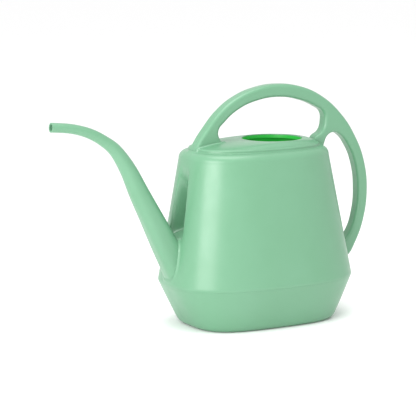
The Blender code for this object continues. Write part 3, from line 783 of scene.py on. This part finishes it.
def tube_tree(look):
    """Geometry nodes that sweep a squarish oval tube with a wall along a line of stations."""
    tree = bpy.data.node_groups.new("oval_tube", "GeometryNodeTree")
    tree.is_modifier = True
    for socket in ("Geometry", "Wall", "Overrun", "Sides"):
        kind = {"Geometry": "NodeSocketGeometry", "Sides": "NodeSocketInt"}
        tree.interface.new_socket(socket, in_out="INPUT",
                                  socket_type=kind.get(socket, "NodeSocketFloat"))
    tree.interface.new_socket("Geometry", in_out="OUTPUT", socket_type="NodeSocketGeometry")
    given = add_node(tree, "NodeGroupInput").outputs

    def attribute(name, kind="FLOAT"):
        return add_node(tree, "GeometryNodeInputNamedAttribute", {"Name": name},
                        data_type=kind).outputs["Attribute"]

    depth, width, power = (attribute(name) for name in ("half_depth", "half_width",
                                                        "squareness"))
    position = add_node(tree, "GeometryNodeInputPosition").outputs[0]
    line = add_node(tree, "GeometryNodeMeshToCurve", links={"Mesh": given["Geometry"]})
    circle = add_node(tree, "GeometryNodeCurvePrimitiveCircle", {"Radius": 1.0},
                      {"Resolution": given["Sides"]})

    def tube(path, thinner):
        radius = maths(tree, "SUBTRACT", depth, thinner)
        across = maths(tree, "SUBTRACT", width, thinner)
        marked = add_node(tree, "GeometryNodeStoreNamedAttribute", {"Name": "centre"},
                          {"Geometry": path, "Value": position}, data_type="FLOAT_VECTOR")
        swept = add_node(tree, "GeometryNodeCurveToMesh", {"Fill Caps": True},
                         {"Curve": marked.outputs[0], "Profile Curve": circle.outputs[0],
                          "Scale": radius})
        centre = attribute("centre", "FLOAT_VECTOR")
        offset = add_node(tree, "ShaderNodeVectorMath", links={0: position, 1: centre},
                          operation="SUBTRACT").outputs[0]
        y = add_node(tree, "ShaderNodeSeparateXYZ", links={0: offset}).outputs["Y"]
        side = maths(tree, "MINIMUM", maths(tree, "ABSOLUTE", maths(tree, "DIVIDE", y, radius)),
                     1.0)
        front = maths(tree, "SQRT", maths(tree, "SUBTRACT", 1.0,
                                          maths(tree, "MULTIPLY", side, side)))
        total = maths(tree, "ADD", maths(tree, "POWER", side, power),
                      maths(tree, "POWER", front, power))
        grow = maths(tree, "POWER", total, maths(tree, "DIVIDE", -1.0, power))
        stretch = add_node(tree, "ShaderNodeCombineXYZ",
                           links={"X": grow, "Z": grow,
                                  "Y": maths(tree, "MULTIPLY", grow,
                                             maths(tree, "DIVIDE", across, radius))})
        moved = add_node(tree, "ShaderNodeVectorMath",
                         links={0: offset, 1: stretch.outputs[0], 2: centre},
                         operation="MULTIPLY_ADD")
        return add_node(tree, "GeometryNodeSetPosition",
                        links={"Geometry": swept.outputs[0], "Position": moved.outputs[0]})

    outer = tube(line.outputs[0], 0.0)
    end = add_node(tree, "GeometryNodeCurveEndpointSelection", {"Start Size": 1, "End Size": 1})
    tangent = add_node(tree, "GeometryNodeInputTangent").outputs[0]
    start = add_node(tree, "GeometryNodeCurveEndpointSelection",
                     {"Start Size": 1, "End Size": 0}).outputs[0]
    way = add_node(tree, "ShaderNodeMapRange", {"To Min": 1.0, "To Max": -1.0},
                   {"Value": start}).outputs[0]
    reach = maths(tree, "MULTIPLY", way, given["Overrun"])
    past = add_node(tree, "ShaderNodeVectorMath", links={0: tangent, "Scale": reach},
                    operation="SCALE").outputs[0]
    longer = add_node(tree, "GeometryNodeSetPosition",
                      links={"Geometry": line.outputs[0], "Selection": end.outputs[0],
                             "Offset": past})
    bore = tube(longer.outputs[0], given["Wall"])
    hollow = add_node(tree, "GeometryNodeMeshBoolean", operation="DIFFERENCE",
                      solver="MANIFOLD",
                      links={"Mesh 1": outer.outputs[0], "Mesh 2": bore.outputs[0]})
    realized = add_node(tree, "GeometryNodeRealizeInstances",
                        links={"Geometry": hollow.outputs[0]})
    painted = add_node(tree, "GeometryNodeSetMaterial", {"Material": look},
                       {"Geometry": realized.outputs[0]})
    add_node(tree, "NodeGroupOutput", links={"Geometry": painted.outputs[0]})
    return tree


def set_inputs(modifier, values):
    """Sets a geometry nodes modifier's named inputs."""
    for item in modifier.node_group.interface.items_tree:
        if item.in_out == "INPUT" and item.name in values:
            modifier[item.identifier] = values[item.name]


class WATERINGCAN_OT_spout(Operator):
    """The gooseneck spout, hollow from its tip to its root in the channel"""
    bl_idname = "wateringcan.spout"
    bl_label = "Spout"

    def execute(self, context):
        can = context.scene.watering_can
        sizes = can.spout
        look = moulded_polyethylene(can.finish)
        stations = spout_stations()
        path = bpy.data.meshes.new("spout_path")
        path.from_pydata([(x, 0.0, z) for x, z in stations[:, :2]],
                         [(i, i + 1) for i in range(len(stations) - 1)], [])
        for i, name in ((2, "half_depth"), (3, "half_width"), (4, "squareness")):
            path.attributes.new(name, "FLOAT", "POINT").data.foreach_set("value", stations[:, i])
        holder = helper("spout_blank", path)
        tube = holder.modifiers.new("tube", "NODES")
        tube.node_group = tube_tree(look)
        set_inputs(tube, {"Wall": sizes.wall, "Overrun": BORE_OVERRUN, "Sides": sizes.sides})
        outside = can_outside(can, can.tank.hairline)
        boolean(holder, outside, "DIFFERENCE")
        mesh = evaluated_mesh(holder, "spout")
        bpy.data.objects.remove(outside)
        # Faces well inside the spout's skin, the bore, get the second material with the painted
        # inside light.
        centres = np.array([face.center for face in mesh.polygons])
        inside_from = 0.6 * sizes.wall
        paint(mesh, spout_distance(centres) < -inside_from)
        place("spout", mesh, "spout", can)
        return {"FINISHED"}


# ---------------------------------------------------------------- stage

def soft_light(name, location, target, size, power):
    """A rectangular softbox that faces its target."""
    data = bpy.data.lights.new(name, "AREA")
    data.shape = "RECTANGLE"
    data.size, data.size_y = size
    data.energy = power
    made = helper(name, data)
    made.location = location
    made.rotation_mode = "QUATERNION"
    made.rotation_quaternion = (Vector(target) - Vector(location)).to_track_quat("-Z", "Y")


class WATERINGCAN_OT_stage(Operator):
    """Camera, pale floor and soft studio light"""
    bl_idname = "wateringcan.stage"
    bl_label = "Stage"

    def execute(self, context):
        studio = context.scene.watering_can.studio
        scene = context.scene
        for old in [item for item in bpy.data.objects if item.name in ("Cube", "Camera", "Light")]:
            bpy.data.objects.remove(old)
        camera = helper("camera", bpy.data.cameras.new("camera"))
        camera.data.lens = studio.lens
        camera.data.sensor_width = 36.0
        camera.location = studio.camera
        camera.rotation_mode = "QUATERNION"
        sight = Vector(studio.target) - Vector(studio.camera)
        camera.rotation_quaternion = sight.to_track_quat("-Z", "Y")
        scene.camera = camera
        scene.view_settings.view_transform = "Standard"
        world = bpy.data.worlds.new("even_light")
        world.use_nodes = True
        world.node_tree.nodes["Background"].inputs["Color"].default_value = (1, 1, 1, 1)
        world.node_tree.nodes["Background"].inputs["Strength"].default_value = studio.sky
        scene.world = world
        bpy.ops.mesh.primitive_plane_add(size=studio.floor_size,
                                         location=(0, 0, CAD_BOX[0].z - FLOOR_GAP))
        floor = context.object
        floor.name = "floor"
        paper = bpy.data.materials.new("white_paper")
        paper.use_nodes = True
        sheet = paper.node_tree.nodes["Principled BSDF"]
        sheet.inputs["Base Color"].default_value = (*[studio.paper] * 3, 1)
        sheet.inputs["Roughness"].default_value = 0.9
        floor.data.materials.append(paper)
        soft_light("window", studio.window_place, studio.lit, studio.window_size, studio.window)
        soft_light("overhead", studio.overhead_place, studio.lit, studio.overhead_size,
                   studio.overhead)
        return {"FINISHED"}


STEPS = (WATERINGCAN_OT_stage, WATERINGCAN_OT_base_pan, WATERINGCAN_OT_tank_shell,
         WATERINGCAN_OT_top_deck, WATERINGCAN_OT_handle, WATERINGCAN_OT_spout)


class WateringCan(PropertyGroup):
    """Everything about the can that can be changed"""
    tank: PointerProperty(type=TankSizes, name="Tank", description="Sizes of the tank")
    deck: PointerProperty(type=DeckSizes, name="Deck", description="Sizes of the deck")
    handle: PointerProperty(type=HandleSizes, name="Handle", description="Sizes of the hoop")
    spout: PointerProperty(type=SpoutSizes, name="Spout", description="Sizes of the spout")
    finish: PointerProperty(type=Finish, name="Finish", description="Look of the plastic")
    studio: PointerProperty(type=Studio, name="Studio", description="Camera and light")


class WATERINGCAN_PT_panel(Panel):
    """Lists the steps that build the can, with their sizes"""
    bl_idname = "WATERINGCAN_PT_panel"
    bl_label = "Watering can"
    bl_space_type = "VIEW_3D"
    bl_region_type = "UI"
    bl_category = "Watering can"

    def draw(self, context):
        for step in STEPS:
            self.layout.operator(step.bl_idname)
        can = context.scene.watering_can
        for group in (can.tank, can.deck, can.handle, can.spout, can.finish, can.studio):
            box = self.layout.box()
            for key in group.bl_rna.properties.keys():
                if key not in ("rna_type", "name"):
                    box.prop(group, key)


CLASSES = (TankSizes, DeckSizes, HandleSizes, SpoutSizes, Finish, Studio, WateringCan,
           *STEPS, WATERINGCAN_PT_panel)


def register():
    for cls in CLASSES:
        bpy.utils.register_class(cls)
    bpy.types.Scene.watering_can = PointerProperty(type=WateringCan)


def unregister():
    del bpy.types.Scene.watering_can
    for cls in reversed(CLASSES):
        bpy.utils.unregister_class(cls)


def main():
    register()
    bpy.ops.wateringcan.stage()
    bpy.ops.wateringcan.base_pan()
    bpy.ops.wateringcan.tank_shell()
    bpy.ops.wateringcan.top_deck()
    bpy.ops.wateringcan.handle()
    bpy.ops.wateringcan.spout()


if __name__ == "__main__":
    main()
